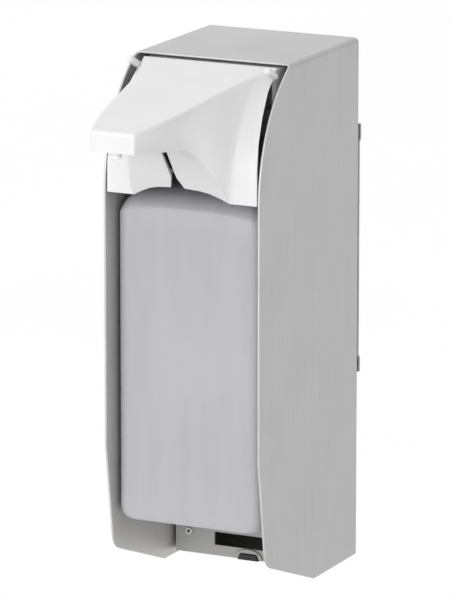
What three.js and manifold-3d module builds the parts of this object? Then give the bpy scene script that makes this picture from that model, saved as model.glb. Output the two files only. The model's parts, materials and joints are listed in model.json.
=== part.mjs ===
// Wall mounted soap dispenser: a bent steel housing hung on a wall plate, a white press lever with a
// long nose, a piston pump and a removable bottle. Millimetres, +Z up. X runs along the wall, the wall
// is the plane Y = 0, and the dispenser stands out from it towards -Y. Heights are measured from the
// housing's lowest edge, and the whole group is then moved down to its origin on the wall.
import * as THREE from "three";
import { mergeVertices } from "three/addons/utils/BufferGeometryUtils.js";
import Module from "manifold-3d";

const wasm = await Module();
wasm.setup();

// Driving sizes. A depth is measured forwards from the housing's rear edge.
const WIDTH = 82;
const HEIGHT = 259;
const FRONT_DEPTH = 111.5;
const TOP_DEPTH = 77;
const STEP_DEPTH = 49;
const SHEET = 1;
const BEND_RADIUS = 2.5;
const STANDOFF = 4;
const BROW_RADIUS = 73;
const CHIN_DEPTH = 104;
const CHIN_HEIGHT = 20;
const CHIN_ROUNDING = 7;
const LEAN_HEIGHT = 72;
const FIT = 0.3;
const RUNNING = 0.1;

// Wall plate and back panel.
const PLATE_SHEET = 1.5;
const PLATE_LOW = 92;
const PLATE_HIGH = 216;
const PLATE_FOOT = 7;
const WALL_HOLE_RADIUS = 2.6;
const HOOK_SIDE = 20;
const HOOK_WIDTH = 10;
const HOOK_RISE = 7;
const SCREW_SIDE = 26;
const SCREW_RADIUS = 2;
const SCREW_HEAD_RADIUS = 3.8;
const SCREW_HEAD = 2.2;
const PANEL_FLANGE = 12;

// Bottle, and the bracket that it stands on.
const BRACKET_DEPTH = 41;
const BRACKET_SHEET = 1.2;
const BRACKET_GAP = 2;
const BRACKET_FLOOR = 2.5;
const SHELF_LENGTH = 39;
const SEAT_GAP = 0.6;
const WINDOW_HALF = 16.8;
const WINDOW_LOW = 7.9;
const WINDOW_HIGH = 14.5;
const TAB_SIDE = 2;
const TAB_RADIUS = 7.4;
const TAB_HEIGHT = 4.2;
const TAB_FOOT = 0.6;
const BUFFER_LEFT = -3.6;
const BUFFER_RIGHT = 7.8;
const BUFFER_TAPER = 1.6;
const BUFFER_HEIGHT = 2.9;
const NUT_SIDE = 30.7;
const NUT_HEIGHT = 13.3;
const NUT_RADIUS = 1.3;
const NUT_COLLAR = 1.8;
const NUT_BORE = 0.7;
const NUT_LENGTH = 7;
const BOTTLE_GAP = 1.5;
const BOTTLE_BASE = 35;
const BOTTLE_WALL = 1.5;
const BOTTLE_CORNER = 9;
const BOTTLE_EDGE = 6;
const BOTTLE_RECESS = 7.2;
const SHOULDER_DROP = 70;
const NECK_GAP = 2;
const NECK_CLEARANCE = 2.6;
const NECK_WALL = 2;

// Lever: drops are measured down from the housing's top.
const PIVOT_DEPTH = 12;
const PIVOT_DROP = 34;
const PIN_RADIUS = 2.5;
const EYE_RADIUS = 5.5;
const LEVER_WALL = 2;
const ARM_THICKNESS = 2;
const ARM_INSET = 5.5;
const HOOD_TOP_DROP = 2.4;
const HOOD_GAP = 0.8;
const NOSE_REACH = 71.5;
const NOSE_HALF = 11;
const NOSE_TOP_DROP = 17;
const NOSE_LOW_DROP = 26.7;
const NOSE_FRONT_WALL = 1.2;
const SKIRT_DROP = 62.2;
const SKIRT_HALF = 25;
const THROAT_DROP = 56;
const THROAT_REACH = 5.1;
const SLIT_HALF = 1;
const NOTCH_HALF = 3.6;
const NOTCH_RISE = 5.7;
const ARCH_RISE = 1.6;
const PEG_RADIUS = 1.8;
const PEG_SIDE = 36;
const PEG_REACH = 7.7;
const PEG_RISE = 3.8;
const SPIGOT_RADIUS = 1.2;
const SPIGOT_FALL = 5.6;

// Pump.
const CARRIER_SHEET = 2;
const CARRIER_HALF = 26;
const CYLINDER_RADIUS = 11.5;
const CYLINDER_WALL = 3;
const GASKET = 1.2;
const GASKET_SEAT = 0.2;
const CYLINDER_LENGTH = 52;
const FLANGE_RIM = 4.5;
const FLANGE = 2;
const CAP_HEIGHT = 4;
const ROD_RADIUS = 4;
const ROD_CHANNEL = 1.5;
const BALL_RADIUS = 5;
const BALL_RISE = 3.2;
const SOCKET_RADIUS = 8.5;
const SOCKET_LIP = 5.7;
const STROKE_ROOM = 7.9;
const SPOUT_RADIUS = 2.75;
const SPOUT_CHANNEL = 1.5;
const NOZZLE_RADIUS = 2.8;
const NOZZLE_DROP = 29.8;
const DIP_TUBE_RADIUS = 2.5;
const PISTON_CLEARANCE = 0.9;
const SPRING_WIRE = 0.8;
const SPRING_TURNS = 5;

// Places that follow from them.
const INNER_HALF = WIDTH / 2 - SHEET;
const PANEL_HALF = INNER_HALF - FIT;
const CEILING = HEIGHT - SHEET;
const BOTTLE_REAR = BRACKET_DEPTH + BOTTLE_GAP;
const BOTTLE_FRONT = FRONT_DEPTH - BOTTLE_RECESS;
const BOTTLE_HALF = INNER_HALF - BOTTLE_GAP;
const CYLINDER_BORE = CYLINDER_RADIUS - CYLINDER_WALL;
const FLANGE_RADIUS = CYLINDER_RADIUS + FLANGE_RIM;
const PISTON_RADIUS = CYLINDER_BORE - PISTON_CLEARANCE;
const SPRING_RADIUS = PISTON_RADIUS - 1;
const NECK_RADIUS = CYLINDER_RADIUS + NECK_GAP + NECK_WALL;
const NECK_DEPTH = (BOTTLE_REAR + BOTTLE_FRONT) / 2;
const SHOULDER_TOP = HEIGHT - SHOULDER_DROP;
const PIVOT_Z = HEIGHT - PIVOT_DROP;
const ARM_OUT = INNER_HALF - ARM_INSET;
const ARM_IN = ARM_OUT - ARM_THICKNESS;
const NOSE_DEPTH = FRONT_DEPTH + NOSE_REACH;
const BALL_Z = PIVOT_Z + BALL_RISE;
const SOCKET_LOW = BALL_Z - SOCKET_LIP;
const CAP_Z = SOCKET_LOW - STROKE_ROOM - CAP_HEIGHT;
const FLANGE_Z = CAP_Z - FIT - FLANGE;
const GASKET_Z = FLANGE_Z - FIT - GASKET;
const CARRIER_Z = GASKET_Z - GASKET_SEAT - CARRIER_SHEET;
const NECK_TOP = CARRIER_Z - NECK_CLEARANCE;
const PISTON_Z = CARRIER_Z - 12;
const CYLINDER_LOW = CARRIER_Z - CYLINDER_LENGTH;
const SPOUT_Z = BALL_Z + 8.3;
const NOZZLE_DEPTH = NOSE_DEPTH - NOSE_FRONT_WALL - NOZZLE_RADIUS - FIT;

const at = (x, depth, z) => new THREE.Vector3(x, -(STANDOFF + depth), z);

// A three.js geometry as a solid, turned right side out where a mirrored shape needs it.
function solid(geometry) {
  const bare = geometry.clone();
  bare.deleteAttribute("normal");
  bare.deleteAttribute("uv");
  const merged = mergeVertices(bare, 1e-4);
  const made = (triVerts) =>
    new wasm.Manifold(
      new wasm.Mesh({ numProp: 3, vertProperties: merged.attributes.position.array, triVerts }),
    );
  const shape = made(new Uint32Array(merged.index.array));
  return shape.volume() < 0 ? made(new Uint32Array(merged.index.array).reverse()) : shape;
}

const join = (...shapes) => shapes.reduce((a, b) => a.add(b));
const cut = (shape, ...tools) => tools.reduce((a, b) => a.subtract(b), shape);

// Boxes and rods, given by their limits in X, depth and Z.
function block(x0, x1, d0, d1, z0, z1) {
  const geometry = new THREE.BoxGeometry(x1 - x0, d1 - d0, z1 - z0);
  const middle = at((x0 + x1) / 2, (d0 + d1) / 2, (z0 + z1) / 2);
  return solid(geometry.translate(middle.x, middle.y, middle.z));
}

function rod(radius, from, to, sides = 24, endRadius = radius) {
  const along = new THREE.Vector3().subVectors(to, from);
  const geometry = new THREE.CylinderGeometry(endRadius, radius, along.length(), sides);
  geometry.applyQuaternion(
    new THREE.Quaternion().setFromUnitVectors(new THREE.Vector3(0, 1, 0), along.clone().normalize()),
  );
  const middle = new THREE.Vector3().addVectors(from, to).multiplyScalar(0.5);
  return solid(geometry.translate(middle.x, middle.y, middle.z));
}

// An outline pushed straight along one axis: a side outline holds depth and Z, a front outline X and
// Z, and a plan outline X and depth.
function pushed(outline, length, u, v, w, start, curveSegments) {
  const geometry = new THREE.ExtrudeGeometry(outline, {
    depth: length,
    bevelEnabled: false,
    curveSegments,
  });
  geometry.applyMatrix4(new THREE.Matrix4().makeBasis(u, v, w).setPosition(start));
  return solid(geometry);
}

const X = new THREE.Vector3(1, 0, 0);
const FORWARD = new THREE.Vector3(0, -1, 0);
const UP = new THREE.Vector3(0, 0, 1);
const shapeOf = (points) => new THREE.Shape(points.map(([u, v]) => new THREE.Vector2(u, v)));

const sideways = (outline, x0, x1, curveSegments = 12) =>
  pushed(outline, x1 - x0, FORWARD, UP, X.clone().negate(), at(x1, 0, 0), curveSegments);
const frontways = (outline, d0, d1, curveSegments = 8) =>
  pushed(outline, d1 - d0, X, UP, FORWARD, at(0, d0, 0), curveSegments);
const upwards = (outline, z0, z1, curveSegments = 8) =>
  pushed(outline, z1 - z0, X, FORWARD, UP.clone().negate(), at(0, 0, z1), curveSegments);

// A round piece turned on an upright axis; its profile holds radius and Z.
function turned(profile, depth, sides = 32) {
  const points = profile.map(([r, z]) => new THREE.Vector2(r, z));
  const geometry = new THREE.LatheGeometry(points, sides).rotateX(Math.PI / 2);
  const axis = at(0, depth, 0);
  return solid(geometry.translate(axis.x, axis.y, axis.z));
}

function ring(inner, outer, z0, z1, depth, sides = 32) {
  const wall = turned([[inner, z0], [outer, z0], [outer, z1], [inner, z1], [inner, z0]], depth, sides);
  return wall;
}

// A sheet bent over a surface: place(u, v) is its outer face, and its wall lies on the side of inside.
function bentSheet(columns, rows, place, thickness, inside) {
  const geometry = new THREE.BoxGeometry(1, 1, 1, columns, rows, 1);
  const position = geometry.attributes.position;
  const step = 1e-3;
  for (let i = 0; i < position.count; i++) {
    const u = position.getX(i) + 0.5;
    const v = position.getY(i) + 0.5;
    const point = place(u, v);
    const lowU = Math.max(u - step, 0);
    const lowV = Math.max(v - step, 0);
    const alongU = place(Math.min(u + step, 1), v).sub(place(lowU, v));
    const alongV = place(u, Math.min(v + step, 1)).sub(place(u, lowV));
    const normal = alongU.cross(alongV).normalize();
    if (normal.dot(inside.clone().sub(point)) < 0) normal.negate();
    if (position.getZ(i) < 0) point.addScaledVector(normal, thickness);
    position.setXYZ(i, point.x, point.y, point.z);
  }
  return solid(geometry);
}

// An upright block with rounded corners and rounded top and bottom edges.
function roundedBlock(halfWidth, rear, front, low, high, corner, edge, lift = edge) {
  const w = halfWidth - edge;
  const d0 = rear + edge;
  const d1 = front - edge;
  const r = Math.max(corner - edge, 0.5);
  const outline = new THREE.Shape();
  outline.moveTo(-w + r, d0);
  outline.lineTo(w - r, d0);
  outline.absarc(w - r, d0 + r, r, -Math.PI / 2, 0, false);
  outline.absarc(w - r, d1 - r, r, 0, Math.PI / 2, false);
  outline.absarc(-w + r, d1 - r, r, Math.PI / 2, Math.PI, false);
  outline.absarc(-w + r, d0 + r, r, Math.PI, Math.PI * 1.5, false);
  const geometry = new THREE.ExtrudeGeometry(outline, {
    depth: high - low - 2 * lift,
    bevelThickness: lift,
    bevelSize: edge,
    bevelSegments: 4,
    curveSegments: 4,
  });
  const frame = new THREE.Matrix4().makeBasis(X, FORWARD, UP.clone().negate());
  geometry.applyMatrix4(frame.setPosition(at(0, 0, high - lift)));
  return solid(geometry);
}

const parts = new THREE.Group();

const FINISH = {
  steel: { color: 0xb4b2b2, roughness: 0.38, metalness: 1 },
  darkSteel: { color: 0x8f8e8d, roughness: 0.45, metalness: 1 },
  white: { color: 0xf4f4f5, roughness: 0.3, metalness: 0 },
  milky: { color: 0xc2c2c8, roughness: 0.35, metalness: 0 },
  clear: { color: 0xdfe4e8, roughness: 0.2, metalness: 0 },
  rubber: { color: 0x2b2b2c, roughness: 0.8, metalness: 0 },
};

function add(name, shape, finish) {
  const mesh = shape.getMesh();
  const geometry = new THREE.BufferGeometry();
  geometry.setAttribute("position", new THREE.BufferAttribute(new Float32Array(mesh.vertProperties), 3));
  geometry.setIndex(new THREE.BufferAttribute(new Uint32Array(mesh.triVerts), 1));
  geometry.computeVertexNormals();
  const made = new THREE.Mesh(geometry, new THREE.MeshStandardMaterial(FINISH[finish]));
  made.name = name;
  parts.add(made);
}

const SIDES = [["left", -1], ["right", 1]];

// The side walls' outline: level at the back, stepped up to the chin, and curved at the brow.
function wallOutline() {
  const centre = FRONT_DEPTH - BROW_RADIUS;
  const start = Math.acos((TOP_DEPTH - centre) / BROW_RADIUS);
  const browEnd = HEIGHT - BROW_RADIUS * Math.sin(start);
  const chin = new THREE.Vector2(CHIN_DEPTH, CHIN_HEIGHT);
  const toward = (x, z) => new THREE.Vector2(x, z).sub(chin).setLength(CHIN_ROUNDING).add(chin);
  const above = toward(FRONT_DEPTH, LEAN_HEIGHT);
  const behind = toward(STEP_DEPTH, 0);
  const outline = new THREE.Shape();
  outline.moveTo(0, 0);
  outline.lineTo(0, HEIGHT);
  outline.lineTo(TOP_DEPTH, HEIGHT);
  outline.absarc(centre, browEnd, BROW_RADIUS, start, 0, true);
  outline.lineTo(FRONT_DEPTH, LEAN_HEIGHT);
  outline.lineTo(above.x, above.y);
  outline.quadraticCurveTo(chin.x, chin.y, behind.x, behind.y);
  outline.lineTo(STEP_DEPTH, 0);
  return outline;
}

// A front outline of an upright channel closed at the top with rounded corners.
function archOutline(half, top, radius) {
  const outline = new THREE.Shape();
  outline.moveTo(-half, -10);
  outline.lineTo(half, -10);
  outline.lineTo(half, top - radius);
  outline.absarc(half - radius, top - radius, radius, 0, Math.PI / 2, false);
  outline.absarc(radius - half, top - radius, radius, Math.PI / 2, Math.PI, false);
  return outline;
}

function housing() {
  const outside = frontways(archOutline(WIDTH / 2, HEIGHT, BEND_RADIUS), -1, FRONT_DEPTH + 1, 5);
  const inside = frontways(archOutline(INNER_HALF, CEILING, BEND_RADIUS - SHEET), -2, FRONT_DEPTH + 2, 5);
  const profile = sideways(wallOutline(), -WIDTH, WIDTH, 16);
  add("housing_shell", cut(outside, inside).intersect(profile), "steel");
}

function wallPlate() {
  const back = -STANDOFF;
  const rest = back + PLATE_SHEET;
  const face = rest + PLATE_SHEET;
  const jog = PLATE_FOOT + PLATE_SHEET;
  const outline = shapeOf([
    [back, PLATE_LOW],
    [rest, PLATE_LOW],
    [rest, PLATE_LOW + PLATE_FOOT],
    [face, PLATE_LOW + jog],
    [face, PLATE_HIGH - jog],
    [rest, PLATE_HIGH - PLATE_FOOT],
    [rest, PLATE_HIGH],
    [back, PLATE_HIGH],
    [back, PLATE_HIGH - PLATE_FOOT - FIT],
    [rest, PLATE_HIGH - jog - FIT],
    [rest, PLATE_LOW + jog + FIT],
    [back, PLATE_LOW + PLATE_FOOT + FIT],
  ]);
  let plate = sideways(outline, -WIDTH / 2 + FIT, WIDTH / 2 - FIT);
  const hook = shapeOf([
    [face - 0.5, hookRoot],
    [hookFront, hookRoot],
    [hookFront, hookRoot + HOOK_RISE],
    [hookFront - PLATE_SHEET, hookRoot + HOOK_RISE],
    [hookFront - PLATE_SHEET, hookRoot + PLATE_SHEET],
    [face - 0.5, hookRoot + PLATE_SHEET],
  ]);
  for (const [, side] of SIDES) {
    const x = side * HOOK_SIDE;
    plate = join(plate, sideways(hook, x - HOOK_WIDTH / 2, x + HOOK_WIDTH / 2));
    for (const z of [plateScrewZ + 14, hookRoot - 20])
      plate = cut(plate, rod(WALL_HOLE_RADIUS, at(x, -STANDOFF - 1, z), at(x, 1, z)));
    const screw = at(side * SCREW_SIDE, -STANDOFF - 1, plateScrewZ);
    plate = cut(plate, rod(SCREW_RADIUS + RUNNING, screw, at(screw.x, 1, plateScrewZ)));
  }
  add("wall_plate", plate, "darkSteel");
}

const hookRoot = PLATE_HIGH - 21;
const hookFront = SHEET + FIT + PLATE_SHEET + 1;
const plateScrewZ = PLATE_LOW + 16;

function backPanel() {
  const a = PANEL_HALF;
  const b = a - SHEET;
  const pan = shapeOf([
    [-a, 0], [a, 0], [a, PANEL_FLANGE], [b, PANEL_FLANGE],
    [b, SHEET], [-b, SHEET], [-b, PANEL_FLANGE], [-a, PANEL_FLANGE],
  ]);
  let panel = upwards(pan, BRACKET_FLOOR - FIT, CEILING - BEND_RADIUS);
  const slotHalf = HOOK_WIDTH / 2 + 0.5;
  const through = (radius, x, z) => rod(radius, at(x, -1, z), at(x, SHEET + 1, z));
  for (const [, side] of SIDES) {
    const x = side * HOOK_SIDE;
    const slotTop = hookRoot + PLATE_SHEET + FIT;
    panel = cut(
      panel,
      block(x - slotHalf, x + slotHalf, -1, SHEET + 1, slotTop - HOOK_RISE - 2, slotTop),
      through(SCREW_RADIUS + RUNNING, side * SCREW_SIDE, plateScrewZ),
      through(SCREW_RADIUS + RUNNING, side * RIVET_SIDE, rivetZ),
      through(SCREW_RADIUS + RUNNING, side * CARRIER_RIVET_SIDE, CARRIER_Z + 10),
      through(SCREW_RADIUS + RUNNING, side * hingeMiddle, PIVOT_Z),
    );
  }
  add("back_panel", panel, "darkSteel");
  for (const [name, side] of SIDES) {
    const x = side * SCREW_SIDE;
    const head = rod(SCREW_HEAD_RADIUS, at(x, SHEET + 0.2, plateScrewZ), at(x, SHEET + SCREW_HEAD, plateScrewZ));
    const shank = rod(SCREW_RADIUS, at(x, -STANDOFF + 0.5, plateScrewZ), at(x, SHEET + 1, plateScrewZ));
    add("plate_screw_" + name, join(head, shank), "steel");
  }
}

const RIVET_SIDE = 24;
const CARRIER_RIVET_SIDE = 18;
const rivetZ = BRACKET_FLOOR + BRACKET_SHEET + 6;
const hingeMiddle = (ARM_IN + ARM_OUT) / 2;

// A rivet through the back panel and a sheet on it, with a head behind and a domed one on the inside.
function rivet(x, inner, z) {
  return join(
    rod(SCREW_RADIUS, at(x, -0.5, z), at(x, inner + 1, z)),
    rod(SCREW_RADIUS + 1.5, at(x, inner, z), at(x, inner + 1.2, z), 24, SCREW_RADIUS),
    rod(SCREW_RADIUS + 1, at(x, -0.9, z), at(x, -0.2, z)),
  );
}

// The bracket: a tail riveted to the back panel, a floor, a front face with a window, and a shelf.
function bottleBracket() {
  const t = BRACKET_SHEET;
  const tail = SHEET + FIT;
  const shelf = BOTTLE_BASE - SEAT_GAP;
  const half = INNER_HALF - BRACKET_GAP;
  const outline = shapeOf([
    [tail, BRACKET_FLOOR],
    [BRACKET_DEPTH, BRACKET_FLOOR],
    [BRACKET_DEPTH, shelf - t],
    [BRACKET_DEPTH + SHELF_LENGTH, shelf - t],
    [BRACKET_DEPTH + SHELF_LENGTH, shelf],
    [BRACKET_DEPTH - t, shelf],
    [BRACKET_DEPTH - t, BRACKET_FLOOR + t],
    [tail + t, BRACKET_FLOOR + t],
    [tail + t, BRACKET_FLOOR + 14],
    [tail, BRACKET_FLOOR + 14],
  ]);
  let bracket = sideways(outline, -half, half);
  const d0 = BRACKET_DEPTH - 3;
  const d1 = BRACKET_DEPTH + 2;
  bracket = cut(
    bracket,
    block(-WINDOW_HALF, WINDOW_HALF, d0, d1, WINDOW_LOW, WINDOW_HIGH),
  );
  for (const [, side] of SIDES) {
    const nut = side * NUT_SIDE;
    const hole = side * RIVET_SIDE;
    bracket = cut(
      bracket,
      rod(NUT_RADIUS + RUNNING, at(nut, d0, NUT_HEIGHT), at(nut, d1, NUT_HEIGHT)),
      rod(SCREW_RADIUS + RUNNING, at(hole, 0, rivetZ), at(hole, 5, rivetZ)),
    );
  }
  add("bottle_bracket", bracket, "steel");
  for (const [name, side] of SIDES) {
    const x = side * NUT_SIDE;
    const front = BRACKET_DEPTH + 0.2;
    const collar = rod(NUT_COLLAR, at(x, front, NUT_HEIGHT), at(x, front + 0.6, NUT_HEIGHT));
    const barrel = rod(NUT_RADIUS, at(x, front - NUT_LENGTH, NUT_HEIGHT), at(x, front + 0.5, NUT_HEIGHT));
    const bore = rod(NUT_BORE, at(x, front - NUT_LENGTH - 1, NUT_HEIGHT), at(x, front + 2, NUT_HEIGHT));
    add("rivet_nut_" + name, cut(join(collar, barrel), bore), "steel");
    add("bracket_rivet_" + name, rivet(side * RIVET_SIDE, tail + t + 0.2, rivetZ), "steel");
  }
  const foot = BRACKET_FLOOR + TAB_FOOT;
  const tab = new THREE.Shape();
  tab.moveTo(TAB_SIDE - TAB_RADIUS, foot);
  tab.lineTo(TAB_SIDE + TAB_RADIUS, foot);
  tab.absellipse(TAB_SIDE, foot, TAB_RADIUS, TAB_HEIGHT + TAB_FOOT, 0, Math.PI, false, 0);
  const tabFace = BRACKET_DEPTH + 0.2;
  const bufferShape = (room) =>
    shapeOf([
      [BUFFER_LEFT - room, BRACKET_FLOOR - 2 * room],
      [BUFFER_RIGHT + room, BRACKET_FLOOR - 2 * room],
      [BUFFER_RIGHT - BUFFER_TAPER + room, BRACKET_FLOOR + BUFFER_HEIGHT + room],
      [BUFFER_LEFT + BUFFER_TAPER - room, BRACKET_FLOOR + BUFFER_HEIGHT + room],
    ]);
  const arch = frontways(tab, tabFace, tabFace + 1, 20);
  add("catch_tab", cut(arch, frontways(bufferShape(FIT), tabFace - 1, tabFace + 2)), "steel");
  add("rubber_buffer", frontways(bufferShape(0), tabFace, tabFace + 1.6), "rubber");
}

// Hinge blocks on the back panel, each with a pin for one arm of the lever.
function hinges() {
  for (const [name, side] of SIDES) {
    const span = (a, b) => (side > 0 ? [a, b] : [-b, -a]);
    const cheek = 2;
    const inner = ARM_IN - FIT - cheek;
    const outer = ARM_OUT + FIT + cheek;
    const low = PIVOT_Z - 8;
    const high = PIVOT_Z + 8;
    const base = SHEET + FIT;
    const slotRear = PIVOT_DEPTH - EYE_RADIUS - FIT;
    const body = block(...span(inner, outer), base, PIVOT_DEPTH + 6, low, high);
    const slot = block(...span(inner + cheek, outer - cheek), slotRear, PIVOT_DEPTH + 7, low - 1, high + 1);
    const across = (radius, a, b) => rod(radius, at(side * a, PIVOT_DEPTH, PIVOT_Z), at(side * b, PIVOT_DEPTH, PIVOT_Z));
    const hole = across(PIN_RADIUS + RUNNING, inner - 1, outer + 1);
    const x = side * hingeMiddle;
    const screwHole = rod(1.7, at(x, 0, PIVOT_Z), at(x, slotRear + 1, PIVOT_Z));
    add("hinge_block_" + name, cut(body, slot, hole, screwHole), "white");
    add("hinge_pin_" + name, across(PIN_RADIUS, inner - 0.6, outer + 0.2), "steel");
    const shank = rod(1.5, at(x, -1, PIVOT_Z), at(x, slotRear - 0.6, PIVOT_Z));
    const head = rod(3, at(x, -2, PIVOT_Z), at(x, -0.2, PIVOT_Z));
    add("hinge_screw_" + name, join(shank, head), "steel");
  }
}

// The lever's outer surfaces. Each half runs from the nose to its side wall; f and g are shares of
// the way from the nose to the skirt's outer corner, across and along the depth.
const sideHalf = INNER_HALF - HOOD_GAP;
const skirtDepth = FRONT_DEPTH - 0.5;
const topZ = CEILING - HOOD_TOP_DROP + SHEET;
const noseTopZ = HEIGHT - NOSE_TOP_DROP;
const noseLowZ = HEIGHT - NOSE_LOW_DROP;
const skirtZ = HEIGHT - SKIRT_DROP;
const throatZ = HEIGHT - THROAT_DROP;
const throatDepth = FRONT_DEPTH + THROAT_REACH;
const shoulderHalf = ARM_OUT + 0.5;
const shoulderDepth = TOP_DEPTH + 3;

const across = (f) => NOSE_HALF + f * (sideHalf - NOSE_HALF);
const outward = (g) => skirtDepth + g * (NOSE_DEPTH - skirtDepth);

const ridge = new THREE.CubicBezierCurve3(
  at(NOSE_HALF, NOSE_DEPTH, noseTopZ),
  at(across(0.53), outward(0.4), topZ - 8.3),
  at(across(0.28), outward(0.1), topZ - 5),
  at(shoulderHalf, shoulderDepth, topZ),
);

const lowerEdge = new THREE.CurvePath();
const skirtInner = at(SKIRT_HALF, skirtDepth, skirtZ);
lowerEdge.add(
  new THREE.CatmullRomCurve3([
    at(NOSE_HALF, NOSE_DEPTH, noseLowZ),
    at(across(0.04), outward(0.6), noseLowZ - 3.8),
    at(across(0.11), outward(0.4), noseLowZ - 5.8),
    at(across(0.22), outward(0.27), noseLowZ - 10),
    at(across(0.38), outward(0.17), noseLowZ - 18.5),
    skirtInner,
  ]),
);
lowerEdge.add(new THREE.LineCurve3(skirtInner, at(sideHalf, skirtDepth, skirtZ)));

const outerEdge = new THREE.CatmullRomCurve3([
  at(shoulderHalf, shoulderDepth, topZ),
  at(shoulderHalf + 1, FRONT_DEPTH - 19.5, topZ - 8.6),
  at(sideHalf - 1.9, FRONT_DEPTH - 9.5, topZ - 21.6),
  at(sideHalf - 0.8, FRONT_DEPTH - 3, topZ - 34.6),
  at(sideHalf, skirtDepth, topZ - 44.6),
  at(sideHalf, skirtDepth, skirtZ),
]);

function flankPoint(u, v) {
  const ends = [ridge.getPoint(0), ridge.getPoint(1), lowerEdge.getPoint(0), lowerEdge.getPoint(1)];
  const nose = ends[0].clone().lerp(ends[2], v);
  const between = (a, b, t) => a.clone().lerp(b, t);
  const ruled = between(ridge.getPointAt(u), lowerEdge.getPoint(u), v);
  const sides = between(nose, outerEdge.getPointAt(v), u);
  const corners = between(between(ends[0], ends[1], u), between(ends[2], ends[3], u), v);
  return ruled.add(sides).sub(corners);
}

const mirrored = (side, point) => new THREE.Vector3(side * point.x, point.y, point.z);

function lever() {
  const middle = at(0, FRONT_DEPTH, PIVOT_Z);
  let hood = bentSheet(
    2,
    12,
    (u, v) => {
      const edge = ridge.getPointAt(v);
      return new THREE.Vector3((2 * u - 1) * edge.x, edge.y, edge.z);
    },
    LEVER_WALL,
    middle,
  );
  hood = join(
    hood,
    block(-shoulderHalf, shoulderHalf, TOP_DEPTH - 13, shoulderDepth + 0.5, topZ - LEVER_WALL, topZ),
    block(-NOSE_HALF, NOSE_HALF, NOSE_DEPTH - NOSE_FRONT_WALL, NOSE_DEPTH, noseLowZ, noseTopZ),
    block(-6, 6, NECK_DEPTH - 7, NECK_DEPTH + 7, SPOUT_Z + 3.5 + FIT, topZ - 1),
  );
  const rear = PIVOT_DEPTH;
  const arm = new THREE.Shape();
  arm.moveTo(rear, PIVOT_Z - EYE_RADIUS);
  arm.absarc(rear, PIVOT_Z, EYE_RADIUS, -Math.PI / 2, Math.PI / 2, true);
  arm.lineTo(TOP_DEPTH - 17, topZ - 8);
  arm.lineTo(TOP_DEPTH - 12, topZ - 0.5);
  arm.lineTo(shoulderDepth, topZ - 0.5);
  arm.lineTo(FRONT_DEPTH - 20.5, topZ - 9);
  arm.lineTo(FRONT_DEPTH - 10.5, topZ - 22);
  arm.lineTo(FRONT_DEPTH - 4.5, topZ - 35);
  arm.lineTo(FRONT_DEPTH - 1.7, topZ - 45);
  arm.lineTo(FRONT_DEPTH - 1.7, skirtZ + 7);
  arm.lineTo(FRONT_DEPTH - 7.5, skirtZ + 7);
  arm.lineTo(FRONT_DEPTH - 17.5, PIVOT_Z - 3);
  for (const [, side] of SIDES) {
    const span = side > 0 ? [ARM_IN, ARM_OUT] : [-ARM_OUT, -ARM_IN];
    const flank = bentSheet(18, 10, (u, v) => mirrored(side, flankPoint(u, v)), LEVER_WALL, middle);
    const throat = bentSheet(3, 8, (u, v) => mirrored(side, throatPoint(u, v)), LEVER_WALL, middle);
    hood = join(hood, flank, throat, sideways(arm, ...span));
  }
  const notch = shapeOf([
    [-NOTCH_HALF - 0.6, throatZ - 1],
    [NOTCH_HALF + 0.6, throatZ - 1],
    [SLIT_HALF, throatZ + NOTCH_RISE],
    [-SLIT_HALF, throatZ + NOTCH_RISE],
  ]);
  hood = cut(
    hood,
    frontways(notch, FRONT_DEPTH - 5, FRONT_DEPTH + 15),
    rod(PIN_RADIUS + RUNNING, at(-WIDTH, PIVOT_DEPTH, PIVOT_Z), at(WIDTH, PIVOT_DEPTH, PIVOT_Z)),
    ...SIDES.map(([, side]) => peg(side, RUNNING)),
  );
  add("lever_hood", hood, "white");
}

// The underside of each half, from the lower edge in to the slit, with a straight top inside the nose.
function throatPoint(u, v) {
  const share = 0.79 - 0.42 * v;
  const outer = lowerEdge.curves[0].getPoint(Math.min(share / 0.79, 1));
  const inner = at(SLIT_HALF, throatDepth + 20.4 * v, throatZ + 28 * v);
  const point = outer.clone().lerp(inner, u);
  point.z += ARCH_RISE * (1 - v) * Math.sin(Math.PI * u);
  return point;
}

// A round-ended peg at one shoulder, with a spigot that goes inwards to the arm.
function peg(side, room) {
  const depth = TOP_DEPTH + 7.7;
  const z = HEIGHT - 4.9;
  const low = at(side * PEG_SIDE, depth, z);
  const high = at(side * PEG_SIDE, depth + PEG_REACH, z + PEG_RISE);
  const foot = at(side * (ARM_IN - 1), depth, z - SPIGOT_FALL);
  const radius = PEG_RADIUS + room;
  const ball = (centre) =>
    solid(new THREE.SphereGeometry(radius, 16, 10).translate(centre.x, centre.y, centre.z));
  return join(rod(radius, low, high, 16), ball(low), ball(high), rod(SPIGOT_RADIUS + room, low, foot, 16));
}

function pegs() {
  for (const [name, side] of SIDES) add("hood_peg_" + name, peg(side, 0), "white");
}

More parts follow.
